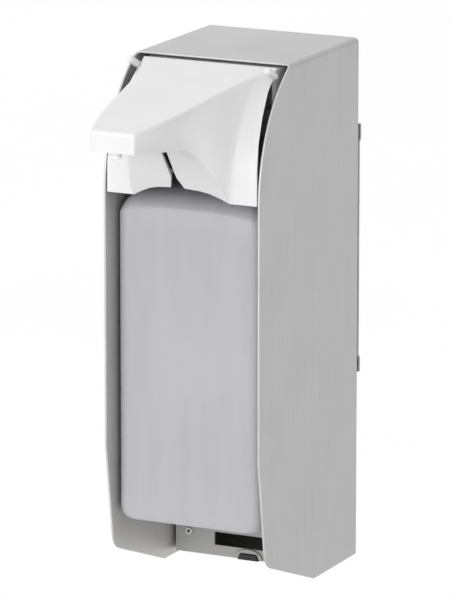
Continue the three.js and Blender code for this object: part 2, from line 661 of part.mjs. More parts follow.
function bottle() {
  const wall = BOTTLE_WALL;
  const shellOf = (inset) =>
    join(
      roundedBlock(
        BOTTLE_HALF - inset,
        BOTTLE_REAR + inset,
        BOTTLE_FRONT - inset,
        BOTTLE_BASE + inset,
        SHOULDER_TOP - inset,
        BOTTLE_CORNER,
        BOTTLE_EDGE - inset,
      ),
      roundedBlock(
        BOTTLE_HALF - 3 - inset,
        BOTTLE_REAR + 3 + inset,
        BOTTLE_FRONT - 3 - inset,
        SHOULDER_TOP - 30,
        SHOULDER_TOP + 8 - inset,
        BOTTLE_CORNER,
        14,
        10,
      ),
    );
  const neck = turned(
    [
      [0, SHOULDER_TOP], [NECK_RADIUS - 1, SHOULDER_TOP], [NECK_RADIUS - 1, NECK_TOP - 4],
      [NECK_RADIUS, NECK_TOP - 3.5], [NECK_RADIUS, NECK_TOP - 1], [NECK_RADIUS - 0.8, NECK_TOP], [0, NECK_TOP],
    ],
    NECK_DEPTH,
  );
  const bore = rod(NECK_RADIUS - NECK_WALL, at(0, NECK_DEPTH, SHOULDER_TOP - 9), at(0, NECK_DEPTH, NECK_TOP + 1), 32);
  add("bottle", cut(join(shellOf(0), neck), shellOf(wall), bore), "milky");
}

function pump() {
  const d = NECK_DEPTH;
  const carrier = join(
    block(-CARRIER_HALF, CARRIER_HALF, SHEET + FIT, d + 18, CARRIER_Z, CARRIER_Z + CARRIER_SHEET),
    block(-CARRIER_HALF, CARRIER_HALF, SHEET + FIT, SHEET + FIT + CARRIER_SHEET, CARRIER_Z, CARRIER_Z + 16),
  );
  const rivetHeight = CARRIER_Z + 10;
  for (const [name, side] of SIDES) {
    const inner = SHEET + FIT + CARRIER_SHEET + 0.2;
    add("carrier_rivet_" + name, rivet(side * CARRIER_RIVET_SIDE, inner, rivetHeight), "steel");
  }
  const seat = rod(CYLINDER_RADIUS + FIT, at(0, d, CARRIER_Z - 1), at(0, d, CARRIER_Z + 4), 32);
  const holes = SIDES.map(([, side]) => {
    const x = side * CARRIER_RIVET_SIDE;
    return rod(SCREW_RADIUS + RUNNING, at(x, 0, rivetHeight), at(x, 5, rivetHeight));
  });
  add("pump_carrier", cut(carrier, seat, ...holes), "darkSteel");
  const low = CYLINDER_LOW;
  const bore = CYLINDER_BORE;
  const top = FLANGE_Z + FLANGE;
  const tube = DIP_TUBE_RADIUS + RUNNING;
  add(
    "pump_cylinder",
    turned(
      [
        [tube, low - 8], [tube + 1.5, low - 8], [tube + 1.5, low - 1], [CYLINDER_RADIUS - 1, low],
        [CYLINDER_RADIUS, low + 2], [CYLINDER_RADIUS, FLANGE_Z], [FLANGE_RADIUS, FLANGE_Z],
        [FLANGE_RADIUS, top], [bore, top], [bore, low + 6], [3.2, low + 4.5], [1.6, low + 2],
        [1.6, low - 0.5], [tube, low - 0.5], [tube, low - 8],
      ],
      d,
    ),
    "white",
  );
  add("pump_gasket", ring(CYLINDER_RADIUS + RUNNING, FLANGE_RADIUS - 0.5, GASKET_Z, GASKET_Z + GASKET, d), "rubber");
  const guide = ROD_RADIUS + RUNNING;
  add(
    "cylinder_cap",
    turned(
      [
        [guide, CAP_Z + 0.6], [CYLINDER_BORE + 0.5, CAP_Z], [CYLINDER_RADIUS + 1.5, CAP_Z],
        [CYLINDER_RADIUS + 1.5, CAP_Z + CAP_HEIGHT - 1], [CYLINDER_RADIUS + 0.5, CAP_Z + CAP_HEIGHT],
        [guide, CAP_Z + CAP_HEIGHT], [guide, CAP_Z + 0.6],
      ],
      d,
    ),
    "white",
  );
  const legs = [-4.8, 4.8].map((x) => block(x - 0.6, x + 0.6, d - 1, d + 1, low + 8, low + 12));
  const bar = block(-5, 5, d - 1, d + 1, low + 10.9, low + 12);
  const foot = ring(4.2, CYLINDER_BORE - FIT, low + 6.3, low + 8.6, d);
  add("ball_cage", join(foot, bar, ...legs), "white");
  const ball = at(0, d, low + 6.4);
  add("inlet_ball", solid(new THREE.SphereGeometry(2.4, 16, 10).translate(ball.x, ball.y, ball.z)), "steel");
  add("dip_tube", ring(SPOUT_CHANNEL, DIP_TUBE_RADIUS, BOTTLE_BASE + 6, low - 0.8, d, 16), "clear");
  const seal = PISTON_Z;
  const groove = ROD_RADIUS - 0.4;
  add(
    "piston_rod",
    cut(
      join(
        turned(
          [
            [0, seal - 2], [PISTON_RADIUS, seal - 2], [PISTON_RADIUS, seal - RUNNING],
            [groove, seal - RUNNING], [groove, seal + 5 + RUNNING], [PISTON_RADIUS, seal + 5 + RUNNING],
            [PISTON_RADIUS, seal + 6.5],
            [ROD_RADIUS, seal + 8], [ROD_RADIUS, BALL_Z], [0, BALL_Z],
          ],
          d,
        ),
        solid(new THREE.SphereGeometry(BALL_RADIUS, 24, 14).rotateX(Math.PI / 2).translate(...at(0, d, BALL_Z))),
      ),
      rod(ROD_CHANNEL, at(0, d, seal - 3), at(0, d, BALL_Z + BALL_RADIUS + 1), 16),
    ),
    "white",
  );
  add("piston_seal", ring(groove + RUNNING, bore - RUNNING, seal, seal + 5, d), "rubber");
  add("pump_spring", spring(low + 6 + SPRING_WIRE + 3.2, seal - 2 - SPRING_WIRE - FIT, d), "steel");
}

// A coil spring on an upright axis, between the heights of its first and last coil's wire.
function spring(z0, z1, depth) {
  class Coil extends THREE.Curve {
    getPoint(t, target = new THREE.Vector3()) {
      const angle = t * SPRING_TURNS * 2 * Math.PI;
      const centre = at(0, depth, z0 + (z1 - z0) * t);
      return target.set(SPRING_RADIUS * Math.cos(angle), centre.y + SPRING_RADIUS * Math.sin(angle), centre.z);
    }
  }
  const section = new THREE.Shape().absarc(0, 0, SPRING_WIRE, 0, 2 * Math.PI, false);
  const geometry = new THREE.ExtrudeGeometry(section, {
    steps: SPRING_TURNS * 14,
    extrudePath: new Coil(),
    curveSegments: 3,
    bevelEnabled: false,
  });
  return solid(geometry);
}

// The spout rides inside the lever: a socket over the rod's ball, a long tube and a nozzle.
function spout() {
  const d = NECK_DEPTH;
  const low = SOCKET_LOW;
  const top = SPOUT_Z + 3.5;
  const tip = at(0, NOZZLE_DEPTH, SPOUT_Z);
  const stub = 2;
  const end = HEIGHT - NOZZLE_DROP + 1.2;
  const bore = BALL_RADIUS + FIT;
  const shape = join(
    rod(SOCKET_RADIUS, at(0, d, low), at(0, d, top - 1.5), 32),
    rod(SOCKET_RADIUS, at(0, d, top - 1.5), at(0, d, top), 32, SOCKET_RADIUS - 1.5),
    rod(SPOUT_RADIUS, at(0, d, SPOUT_Z), tip, 20),
    rod(stub, at(0, NOZZLE_DEPTH, end), tip, 20),
    solid(new THREE.SphereGeometry(SPOUT_RADIUS, 20, 10).translate(tip.x, tip.y, tip.z)),
  );
  const grooveLow = BALL_Z - 0.9;
  add(
    "spout",
    cut(
      shape,
      rod(bore, at(0, d, low - 1), at(0, d, BALL_Z + BALL_RADIUS + 0.4), 32),
      ring(bore - 1, bore + 1, grooveLow, grooveLow + 1.8, d),
      rod(SPOUT_CHANNEL, at(0, d, BALL_Z), at(0, d, SPOUT_Z), 16),
      rod(SPOUT_CHANNEL, at(0, d - 1, SPOUT_Z), tip, 16),
      rod(SPOUT_CHANNEL - 0.3, at(0, NOZZLE_DEPTH, end - 1), tip, 16),
    ),
    "white",
  );
  const seal = at(0, d, BALL_Z);
  add("spout_seal", solid(new THREE.TorusGeometry(bore + 0.35, 0.5, 8, 32).translate(seal.x, seal.y, seal.z)), "rubber");
  const low2 = HEIGHT - NOZZLE_DROP;
  add(
    "nozzle",
    cut(
      rod(NOZZLE_RADIUS, at(0, NOZZLE_DEPTH, low2), at(0, NOZZLE_DEPTH, low2 + 4.4), 24),
      rod(stub + RUNNING, at(0, NOZZLE_DEPTH, low2 + 1), at(0, NOZZLE_DEPTH, low2 + 6), 20),
      rod(SPOUT_CHANNEL - 0.5, at(0, NOZZLE_DEPTH, low2 - 1), at(0, NOZZLE_DEPTH, low2 + 3), 16),
    ),
    "white",
  );
}

// The origin is on the wall, in the middle of the wall plate's upper band.
parts.position.z = PLATE_FOOT / 2 - PLATE_HIGH;

housing();
wallPlate();
backPanel();
bottleBracket();
hinges();
lever();
pegs();
bottle();
pump();
spout();

export default parts;
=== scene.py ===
"""Looks for a wall mounted soap dispenser: a brushed steel housing, a glossy white press lever with a
long nose, a milky bottle on a steel bracket, and the pump inside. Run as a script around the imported
frame. Shapes are worked out in millimetres and written in metres."""

import json
import math
from types import SimpleNamespace

import bmesh
import bpy
from bpy.props import FloatProperty, FloatVectorProperty, PointerProperty
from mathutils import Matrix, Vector
from mathutils.geometry import interpolate_bezier

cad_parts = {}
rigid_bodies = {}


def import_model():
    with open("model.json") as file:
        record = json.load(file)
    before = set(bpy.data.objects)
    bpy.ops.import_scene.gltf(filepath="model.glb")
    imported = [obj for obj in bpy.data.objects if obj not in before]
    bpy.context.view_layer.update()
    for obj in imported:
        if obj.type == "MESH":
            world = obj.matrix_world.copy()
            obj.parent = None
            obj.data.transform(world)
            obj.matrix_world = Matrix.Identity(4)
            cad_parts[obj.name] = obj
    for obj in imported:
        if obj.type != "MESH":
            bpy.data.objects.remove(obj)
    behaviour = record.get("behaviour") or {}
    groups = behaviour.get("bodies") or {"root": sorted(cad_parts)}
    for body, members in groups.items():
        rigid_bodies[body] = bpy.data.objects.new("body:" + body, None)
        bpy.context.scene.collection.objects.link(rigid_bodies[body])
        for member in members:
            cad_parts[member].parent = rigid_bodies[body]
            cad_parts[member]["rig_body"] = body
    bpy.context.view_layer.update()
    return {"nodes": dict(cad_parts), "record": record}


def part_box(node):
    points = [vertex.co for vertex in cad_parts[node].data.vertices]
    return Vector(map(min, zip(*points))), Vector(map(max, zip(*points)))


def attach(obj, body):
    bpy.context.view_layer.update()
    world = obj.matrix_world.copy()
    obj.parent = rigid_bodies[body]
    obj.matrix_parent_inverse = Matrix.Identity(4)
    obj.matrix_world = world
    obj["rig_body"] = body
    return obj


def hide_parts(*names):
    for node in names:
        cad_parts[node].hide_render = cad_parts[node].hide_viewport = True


bl_info = {
    "name": "Soap Dispenser Looks",
    "version": (1, 0, 0),
    "blender": (4, 5, 0),
    "location": "View3D > Sidebar > Dispenser",
    "description": "Dresses the packed wall mounted soap dispenser with finished pieces and materials",
    "category": "Object",
}

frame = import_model()
MM = 0.001
SHELL_LOW, SHELL_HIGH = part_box("housing_shell")
HOOD_LOW, HOOD_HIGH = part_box("lever_hood")
BOTTLE_LOW, BOTTLE_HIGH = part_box("bottle")

# Sizes read from the frame, in millimetres. A depth is measured forwards from the housing's rear edge
# and a height upwards from its lowest edge.
SHELL_HALF = (SHELL_HIGH.x - SHELL_LOW.x) / 2 / MM
SHELL_HEIGHT = (SHELL_HIGH.z - SHELL_LOW.z) / MM
SHELL_DEPTH = (SHELL_HIGH.y - SHELL_LOW.y) / MM
NOSE_DEPTH = (SHELL_HIGH.y - HOOD_LOW.y) / MM
HOOD_HALF = HOOD_HIGH.x / MM
HOOD_TOP = (HOOD_HIGH.z - SHELL_LOW.z) / MM
SKIRT_HEIGHT = (HOOD_LOW.z - SHELL_LOW.z) / MM

# Working values, in millimetres and degrees.
MERGE = 0.002  # points closer than this are one point
FLAT_ANGLE = 1.5  # faces that meet at less than this are one flat face
BEVEL_ANGLE = 50  # edges that turn more than this are rounded
SKIRT_GAP = 0.5  # skirt behind the housing's front
SHOULDER_DEPTH = 80.0  # where the lever's shoulder meets the top
NECK_LENGTH = 16.0
RIM_CREASE = 0.62  # keeps a rounded sheet's rim crisp

# The stage: what the camera looks at, and each softbox as its place from there in metres and its size.
AIM = (-0.777, 62.3, 137.656)
KEY_AT, KEY_SIZE = (-0.5, -2.4, 0.6), 1.6
FILL_AT, FILL_SIZE = (1.5, -1.9, 0.3), 1.4
SENSOR_WIDTH = 36
FLOOR_HALF = 30


def spot(x, depth, height):
    """A place in the frame's own metres."""
    return Vector((x * MM, SHELL_HIGH.y - depth * MM, SHELL_LOW.z + height * MM))


# ---------------------------------------------------------------- user sizes


def length(name, description, millimetres):
    """A length that the user may change, given here in millimetres."""
    default = millimetres * MM
    return FloatProperty(name=name, description=description, default=default, unit="LENGTH", precision=5)


def colour(name, description, red, green, blue):
    """A colour that the user may change."""
    default = (red, green, blue)
    return FloatVectorProperty(name=name, description=description, subtype="COLOR", default=default)


def in_millimetres(group):
    """All lengths of a group, in millimetres."""
    names = [name for name in group.bl_rna.properties.keys() if name not in ("rna_type", "name")]
    return SimpleNamespace(**{name: getattr(group, name) / MM for name in names})


class HousingShape(bpy.types.PropertyGroup):
    sheet: length("Sheet", "Thickness of the bent sheet", 1.0)
    bend: length("Bend", "Outer radius of the two top bends", 2.5)
    top_depth: length("Top depth", "Depth of the top face", 77.0)
    brow_radius: length("Brow", "Radius of the walls' upper curve", 73.0)
    lean_height: length("Lean", "Height where the walls lean back", 72.0)
    chin_depth: length("Chin depth", "Depth of the lower front corner", 104.0)
    chin_height: length("Chin height", "Height of the lower front corner", 20.0)
    chin_rounding: length("Chin rounding", "Length of rounding at the chin", 7.0)
    step_depth: length("Step", "Depth of the level lower edge", 49.0)
    cut_edge: length("Cut edge", "Rounding of the deburred cut edges", 0.22)


class LeverShape(bpy.types.PropertyGroup):
    wall: length("Wall", "Thickness of the moulding", 1.9)
    nose_half: length("Nose half width", "Half the width of the nose", 11.5)
    nose_height: length("Nose height", "Height of the nose's front face", 10.0)
    nose_drop: length("Nose drop", "Fall of the top from shoulder to nose", 14.4)
    rear_edge: length("Rear edge", "Depth where the arms start", 80.3)
    shoulder_half: length("Shoulder", "Half width under the housing", 35.0)
    shoulder_rise: length("Shoulder rise", "Crown at the shoulder", 0.7)
    skirt_half: length("Skirt inner edge", "Where each skirt panel starts", 25.0)
    throat_reach: length("Throat reach", "Throat in front of the walls", 5.1)
    throat_rise: length("Throat rise", "Throat above the skirt", 6.2)
    throat_length: length("Slit reach", "Depth covered by the slit", 20.4)
    throat_climb: length("Slit climb", "Height covered by the slit", 28.0)
    slit_half: length("Slit", "Half the width of the slit", 1.4)
    notch_half: length("Notch", "Half the width of the slit's open end", 3.6)
    notch_rise: length("Notch rise", "Height of the slit's open end", 5.7)
    fillet: length("Fillet", "Width of the rounding along the ridge", 2.4)
    crease: length("Crease", "Width of rounding above the throat", 3.0)
    lip: length("Slit lip", "How far the slit's edges turn in", 1.6)
    arch: length("Arch", "Rise of the throat's lower edge", 1.8)


class BottleShape(bpy.types.PropertyGroup):
    corner: length("Corner", "Radius of the upright corners", 6.5)
    end_rise: length("Top rise", "Height of the shoulder above its crease", 7.5)
    end_inset: length("Top inset", "Reach of the shoulder inwards", 9.5)
    base_rise: length("Base rise", "Height of the base rounding", 6.0)
    base_inset: length("Base inset", "Reach of the base rounding at the sides", 4.6)
    base_front: length("Base front", "Reach of the base rounding at the front", 1.2)
    shoulder: length("Shoulder", "Height of the shoulder's crease at the front", 189.3)
    droop: length("Droop", "Fall of the crease towards both sides", 4.2)
    dome: length("Dome", "Crown of the shoulder's top", 1.5)


class Finishes(bpy.types.PropertyGroup):
    steel: colour("Steel", "Brushed sheet", 0.51, 0.5, 0.503)
    plain_steel: colour("Plain steel", "Bracket and plates", 0.36, 0.357, 0.35)
    bright_steel: colour("Bright steel", "Rivets, pins and spring", 0.62, 0.62, 0.61)
    white: colour("White", "Lever moulding", 0.735, 0.73, 0.737)
    pump: colour("Pump", "Pump mouldings", 0.8, 0.8, 0.81)
    milky: colour("Bottle", "Bottle plastic", 0.43, 0.428, 0.452)
    rubber: colour("Rubber", "Seals and buffer", 0.022, 0.022, 0.024)


class Studio(bpy.types.PropertyGroup):
    azimuth: FloatProperty(
        name="Azimuth",
        description="Camera's turn to the right",
        default=math.radians(25.816),
        unit="ROTATION",
    )
    elevation: FloatProperty(
        name="Elevation", description="Camera's height angle", default=math.radians(13.268), unit="ROTATION"
    )
    distance: FloatProperty(
        name="Distance", description="Camera to target", default=2.56994, unit="LENGTH"
    )
    lens: FloatProperty(name="Lens", description="Focal length", default=320.2, unit="CAMERA")
    floor_drop: FloatProperty(
        name="Floor drop", description="Floor below the dispenser", default=2.4, unit="LENGTH"
    )
    key_power: FloatProperty(name="Key", description="Front softbox", default=17.5, unit="POWER")
    fill_power: FloatProperty(name="Fill", description="Right hand fill", default=12.0, unit="POWER")
    # The floor's painted shade under the dispenser reaches this far and fades out by shade_far.
    shade_near: FloatProperty(
        name="Shade near", description="Floor is darkest up to here", default=1.7, unit="LENGTH"
    )
    shade_far: FloatProperty(
        name="Shade far", description="Floor is palest from here", default=5.5, unit="LENGTH"
    )
    sky: FloatProperty(
        name="Sky", description="Brightness of the white surround", default=1.08, subtype="FACTOR"
    )
    shade: FloatProperty(
        name="Shade",
        description="Brightness of the surround's darker side",
        default=0.57,
        subtype="FACTOR",
    )
    glow: FloatProperty(
        name="Glow", description="Floor's own faint light", default=0.1, subtype="FACTOR"
    )


# ---------------------------------------------------------------- material nodes


class Nodes:
    """A material's node tree with short calls for the nodes that the finishes share."""

    def __init__(self, name):
        self.material = bpy.data.materials.new(name)
        self.material.use_nodes = True
        self.tree = self.material.node_tree
        self.shader = self.tree.nodes["Principled BSDF"]
        coordinates = self.add("ShaderNodeTexCoord")
        self.object = coordinates.outputs["Object"]

    def add(self, kind, **settings):
        node = self.tree.nodes.new(kind)
        for key, value in settings.items():
            setattr(node, key, value)
        return node

    def link(self, source, target):
        self.tree.links.new(source, target)

    def stretched(self, source, scale):
        node = self.add("ShaderNodeMapping")
        node.inputs["Scale"].default_value = scale
        self.link(source, node.inputs["Vector"])
        return node.outputs["Vector"]

    def noise(self, source, scale, detail=3.0, roughness=0.5, distortion=0.0):
        node = self.add("ShaderNodeTexNoise")
        node.inputs["Scale"].default_value = scale
        node.inputs["Detail"].default_value = detail
        node.inputs["Roughness"].default_value = roughness
        node.inputs["Distortion"].default_value = distortion
        self.link(source, node.inputs["Vector"])
        return node.outputs["Fac"]

    def spread(self, source, low, high, start=0.3, end=0.7):
        """Maps a pattern from its middle stretch to a range of values."""
        node = self.add("ShaderNodeMapRange", clamp=True)
        range_ends = {"From Min": start, "From Max": end, "To Min": low, "To Max": high}
        for key, value in range_ends.items():
            node.inputs[key].default_value = value
        self.link(source, node.inputs["Value"])
        return node.outputs["Result"]

    def tint(self, factor, dark, light):
        node = self.add("ShaderNodeMix", data_type="RGBA")
        self.link(factor, node.inputs[0])
        node.inputs[6].default_value = (*dark, 1)
        node.inputs[7].default_value = (*light, 1)
        return node.outputs[2]

    def together(self, first, second, share=0.5):
        node = self.add("ShaderNodeMix", data_type="FLOAT")
        node.inputs[0].default_value = share
        self.link(first, node.inputs[2])
        self.link(second, node.inputs[3])
        return node.outputs[0]

    def bump(self, height, distance, strength=1.0, before=None):
        node = self.add("ShaderNodeBump")
        node.inputs["Distance"].default_value = distance
        node.inputs["Strength"].default_value = strength
        self.link(height, node.inputs["Height"])
        if before is not None:
            self.link(before, node.inputs["Normal"])
        return node.outputs["Normal"]

    def fix(self, **values):
        """Constant values on the shader's own sockets."""
        for key, value in values.items():
            self.shader.inputs[key.replace("_", " ")].default_value = value

    def wire(self, **sources):
        for key, source in sources.items():
            self.link(source, self.shader.inputs[key.replace("_", " ")])


def shades(colour, down, up):
    """A darker and a lighter version of one colour."""
    return tuple(c * down for c in colour), tuple(min(c * up, 1) for c in colour)


def brushed_steel(name, colour, grain, roughness=0.44, metal=0.55, coords="object"):
    """Sheet with long fine brush lines; grain holds the pattern's scale along each axis."""
    nodes = Nodes(name)
    source = nodes.object
    if coords == "sheet":
        source = nodes.add("ShaderNodeUVMap", uv_map="sheet").outputs["UV"]
    lines = nodes.noise(nodes.stretched(source, grain), 1.0, 4.0, 0.62)
    broad = nodes.noise(nodes.stretched(source, tuple(g / 9 for g in grain)), 1.0, 2.0, 0.5)
    clouds = nodes.noise(source, 26.0, 3.0, 0.55, 0.3)
    streaks = nodes.together(lines, broad, 0.35)
    tone = nodes.spread(nodes.together(streaks, clouds, 0.3), 0.0, 1.0)
    dark, light = shades(colour, 0.88, 1.1)
    rough = nodes.spread(streaks, roughness - 0.05, roughness + 0.07)
    # Marked faces get a paler tint: partly unbrushed metal, partly painted light on the shaded inside and a
    # painted highlight on the front cut edges.
    colour_mix = nodes.add("ShaderNodeMix", data_type="RGBA")
    unbrushed_and_painted_light = nodes.add("ShaderNodeAttribute", attribute_name="unbrushed_and_painted_light")
    nodes.link(unbrushed_and_painted_light.outputs["Fac"], colour_mix.inputs[0])
    nodes.link(nodes.tint(tone, dark, light), colour_mix.inputs[6])
    nodes.link(nodes.tint(tone, (0.53, 0.525, 0.515), (0.64, 0.635, 0.625)), colour_mix.inputs[7])
    nodes.wire(Base_Color=colour_mix.outputs[2], Roughness=rough)
    nodes.wire(Normal=nodes.bump(lines, 0.00002, 0.55))
    nodes.fix(Metallic=metal, Anisotropic=0.25)
    return nodes.material


def plain_steel(name, colour, roughness=0.42):
    """Rolled sheet without brushing: faint mottling, fine scratches and duller patches."""
    nodes = Nodes(name)
    mottle = nodes.noise(nodes.object, 90.0, 4.0, 0.6, 0.4)
    scratches = nodes.noise(nodes.stretched(nodes.object, (60.0, 900.0, 900.0)), 1.0, 2.0, 0.5)
    dark, light = shades(colour, 0.86, 1.08)
    tone = nodes.spread(nodes.together(mottle, scratches, 0.4), 0.0, 1.0)
    nodes.wire(
        Base_Color=nodes.tint(tone, dark, light),
        Roughness=nodes.spread(mottle, roughness - 0.08, roughness + 0.1),
        Normal=nodes.bump(nodes.together(mottle, scratches, 0.5), 0.00003, 0.5),
    )
    nodes.fix(Metallic=0.75)
    return nodes.material


def gloss_plastic(name, colour, roughness=0.32, coat=0.12):
    """Moulded plastic: an almost even colour, a faint orange peel and slightly rubbed patches."""
    nodes = Nodes(name)
    clouds = nodes.noise(nodes.object, 38.0, 3.0, 0.5)
    peel = nodes.noise(nodes.object, 520.0, 2.0, 0.5)
    grain = nodes.noise(nodes.object, 2600.0, 1.0, 0.5)
    dark, light = shades(colour, 0.975, 1.015)
    nodes.wire(
        Base_Color=nodes.tint(nodes.spread(clouds, 0.0, 1.0), dark, light),
        Roughness=nodes.spread(nodes.together(clouds, grain, 0.3), roughness - 0.04, roughness + 0.06),
        Normal=nodes.bump(grain, 0.000006, 0.4, nodes.bump(peel, 0.00002, 0.35)),
    )
    nodes.fix(Coat_Weight=coat, Coat_Roughness=0.12, Subsurface_Weight=0.06, Subsurface_Scale=0.002)
    nodes.shader.inputs["Subsurface Radius"].default_value = (1.0, 1.0, 1.0)
    return nodes.material


def milky_plastic(name, colour):
    """Blow-moulded plastic: soft sheen, gentle waviness, cloudy depth."""
    nodes = Nodes(name)
    clouds = nodes.noise(nodes.object, 18.0, 3.0, 0.5, 0.5)
    flow = nodes.noise(nodes.stretched(nodes.object, (160.0, 160.0, 22.0)), 1.0, 2.0, 0.5)
    skin = nodes.noise(nodes.object, 1500.0, 2.0, 0.55)
    dark, light = shades(colour, 0.95, 1.04)
    tone = nodes.spread(nodes.together(clouds, flow, 0.45), 0.0, 1.0)
    nodes.wire(
        Base_Color=nodes.tint(tone, dark, light),
        Roughness=nodes.spread(clouds, 0.36, 0.46),
        Normal=nodes.bump(skin, 0.000012, 0.4, nodes.bump(flow, 0.0001, 0.3)),
    )
    nodes.fix(Subsurface_Weight=0.6, Subsurface_Scale=0.012, Coat_Weight=0.08, Coat_Roughness=0.3)
    nodes.shader.inputs["Subsurface Radius"].default_value = (1.0, 1.0, 1.0)
    return nodes.material


def rubber(name, colour):
    """Matt rubber with a fine mould grain and paler rubbed spots."""
    nodes = Nodes(name)
    rubbed = nodes.noise(nodes.object, 240.0, 4.0, 0.6)
    grain = nodes.noise(nodes.object, 3000.0, 2.0, 0.6)
    dark, light = shades(colour, 0.8, 2.2)
    nodes.wire(
        Base_Color=nodes.tint(nodes.spread(rubbed, 0.0, 1.0, 0.45, 0.8), dark, light),
        Roughness=nodes.spread(rubbed, 0.62, 0.8),
        Normal=nodes.bump(grain, 0.00003, 0.6),
    )
    return nodes.material


def clear_plastic(name):
    """Translucent tubing with a faint streaky haze along its length."""
    nodes = Nodes(name)
    haze = nodes.noise(nodes.stretched(nodes.object, (400.0, 400.0, 30.0)), 1.0, 2.0, 0.5)
    nodes.wire(
        Base_Color=nodes.tint(nodes.spread(haze, 0.0, 1.0), (0.74, 0.77, 0.79), (0.86, 0.88, 0.9)),
        Roughness=nodes.spread(haze, 0.18, 0.32),
    )
    nodes.fix(Transmission_Weight=0.6, IOR=1.46)
    return nodes.material


FINISH_OF = {}


def make_finishes(colours):
    """One material for each of the record's slots."""
    steel, plain = tuple(colours.steel), tuple(colours.plain_steel)
    FINISH_OF.update(
        brushed_steel=brushed_steel("brushed steel", steel, (26.0, 1500.0, 1.0), coords="sheet"),
        bracket_steel=brushed_steel("bracket steel", plain, (40.0, 1400.0, 1400.0), 0.5, 0.35),
        plate_steel=plain_steel("plate steel", plain),
        fastener_steel=plain_steel("fastener steel", tuple(colours.bright_steel), 0.28),
        white_plastic=gloss_plastic("white moulding", tuple(colours.white)),
        pump_plastic=gloss_plastic("pump moulding", tuple(colours.pump), 0.3, 0.1),
        bottle_plastic=milky_plastic("bottle plastic", tuple(colours.milky)),
        clear_plastic=clear_plastic("clear tubing"),
        rubber=rubber("black rubber", tuple(colours.rubber)),
    )


SLOT_OF = {entry["node"]: entry["material_slot"] for entry in frame["record"]["subparts"]}


# ---------------------------------------------------------------- mesh helpers


def place(bm, name, node, bevel=0.0, solid=0.0, smooth=40.0, levels=0):
    """Makes the finished object that stands for a CAD node, with its modifiers applied."""
    mesh = bpy.data.meshes.new(name)
    bm.to_mesh(mesh)
    bm.free()
    piece = bpy.data.objects.new(name, mesh)
    bpy.context.scene.collection.objects.link(piece)
    if solid:
        wall = piece.modifiers.new("wall", "SOLIDIFY")
        wall.thickness, wall.offset, wall.use_even_offset = solid * MM, -1, True
        wall.edge_crease_rim = wall.edge_crease_outer = wall.edge_crease_inner = RIM_CREASE
    if levels:
        rounded = piece.modifiers.new("rounding", "SUBSURF")
        rounded.levels = rounded.render_levels = levels
    if bevel:
        edge = piece.modifiers.new("edge", "BEVEL")
        edge.width, edge.segments, edge.limit_method = bevel * MM, 2, "ANGLE"
        edge.angle_limit, edge.use_clamp_overlap = math.radians(BEVEL_ANGLE), True
    for polygon in mesh.polygons:
        polygon.use_smooth = True
    if bevel:
        piece.modifiers.new("flatness", "WEIGHTED_NORMAL").keep_sharp = True
    if piece.modifiers:
        bpy.context.view_layer.update()
        shown = piece.evaluated_get(bpy.context.evaluated_depsgraph_get())
        piece.data = bpy.data.meshes.new_from_object(shown)
        piece.modifiers.clear()
    if not bevel:
        soften_by_angle(piece.data, math.radians(smooth))
    slot = SLOT_OF[node]
    piece.data.materials.clear()
    piece.data.materials.append(FINISH_OF[slot])
    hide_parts(node)
    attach(piece, frame["nodes"][node]["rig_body"])
    return piece


def add_to(piece, bm):
    """Adds another closed body's mesh to a finished piece."""
    extra = bpy.data.meshes.new("extra")
    bm.to_mesh(extra)
    bm.free()
    soften_by_angle(extra, math.radians(40))
    whole = bmesh.new()
    whole.from_mesh(piece.data)
    whole.from_mesh(extra)
    whole.to_mesh(piece.data)
    whole.free()
    bpy.data.meshes.remove(extra)


def soften_by_angle(mesh, angle):
    """Smooth shading, with edges sharper than an angle kept sharp."""
    bm = bmesh.new()
    bm.from_mesh(mesh)
    for edge in bm.edges:
        edge.smooth = edge.calc_face_angle(0) < angle
    for face in bm.faces:
        face.smooth = True
    bm.to_mesh(mesh)
    bm.free()


def tidied(bm, distance=0.004):
    """Merges doubles and turns every face outwards."""
    bmesh.ops.remove_doubles(bm, verts=bm.verts, dist=distance * MM)
    bmesh.ops.recalc_face_normals(bm, faces=bm.faces)
    return bm


def grid(bm, columns, rows, where):
    """A grid of faces over a surface: where(i, j) gives each corner's place."""
    made = bmesh.ops.create_grid(bm, x_segments=columns - 1, y_segments=rows - 1, size=1)["verts"]
    for vertex in made:
        i = round((vertex.co.x + 1) / 2 * (columns - 1))
        j = round((vertex.co.y + 1) / 2 * (rows - 1))
        vertex.co = where(i, j)


def turned(bm, profile, foot, steps):
    """A round upright solid: a profile of radius and height, spun about an axis through its foot."""
    chain = [bm.verts.new(foot + Vector((radius, 0, height)) * MM) for radius, height in profile]
    edges = [bm.edges.new(pair) for pair in zip(chain, chain[1:])]
    turn = {"cent": foot, "axis": (0, 0, 1), "angle": 2 * math.pi}
    bmesh.ops.spin(bm, geom=chain + edges, **turn, steps=steps, use_merge=True)


def copied(node):
    """A CAD node's mesh, merged and with its flat faces whole again."""
    bm = bmesh.new()
    bm.from_mesh(frame["nodes"][node].data)
    bmesh.ops.remove_doubles(bm, verts=bm.verts, dist=MERGE * MM)
    bmesh.ops.dissolve_limit(bm, angle_limit=math.radians(FLAT_ANGLE), verts=bm.verts, edges=bm.edges)
    return bm


def spline(points, steps=24):
    """A smooth line through points, as a list of close places."""
    line = [points[0]]
    ends = [points[0] * 2 - points[1], *points, points[-1] * 2 - points[-2]]
    for before, a, b, after in zip(ends, ends[1:], ends[2:], ends[3:]):
        line += interpolate_bezier(a, a + (b - before) / 6, b - (after - a) / 6, b, steps)[1:]
    return line


def at_share(line, share):
    """The place at a share of a line's length."""
    lengths = [(b - a).length for a, b in zip(line, line[1:])]
    left = min(max(share, 0), 1) * sum(lengths)
    for a, b, length in zip(line, line[1:], lengths):
        if left <= length:
            return a.lerp(b, left / length if length else 0)
        left -= length
    return line[-1].copy()


# ---------------------------------------------------------------- housing


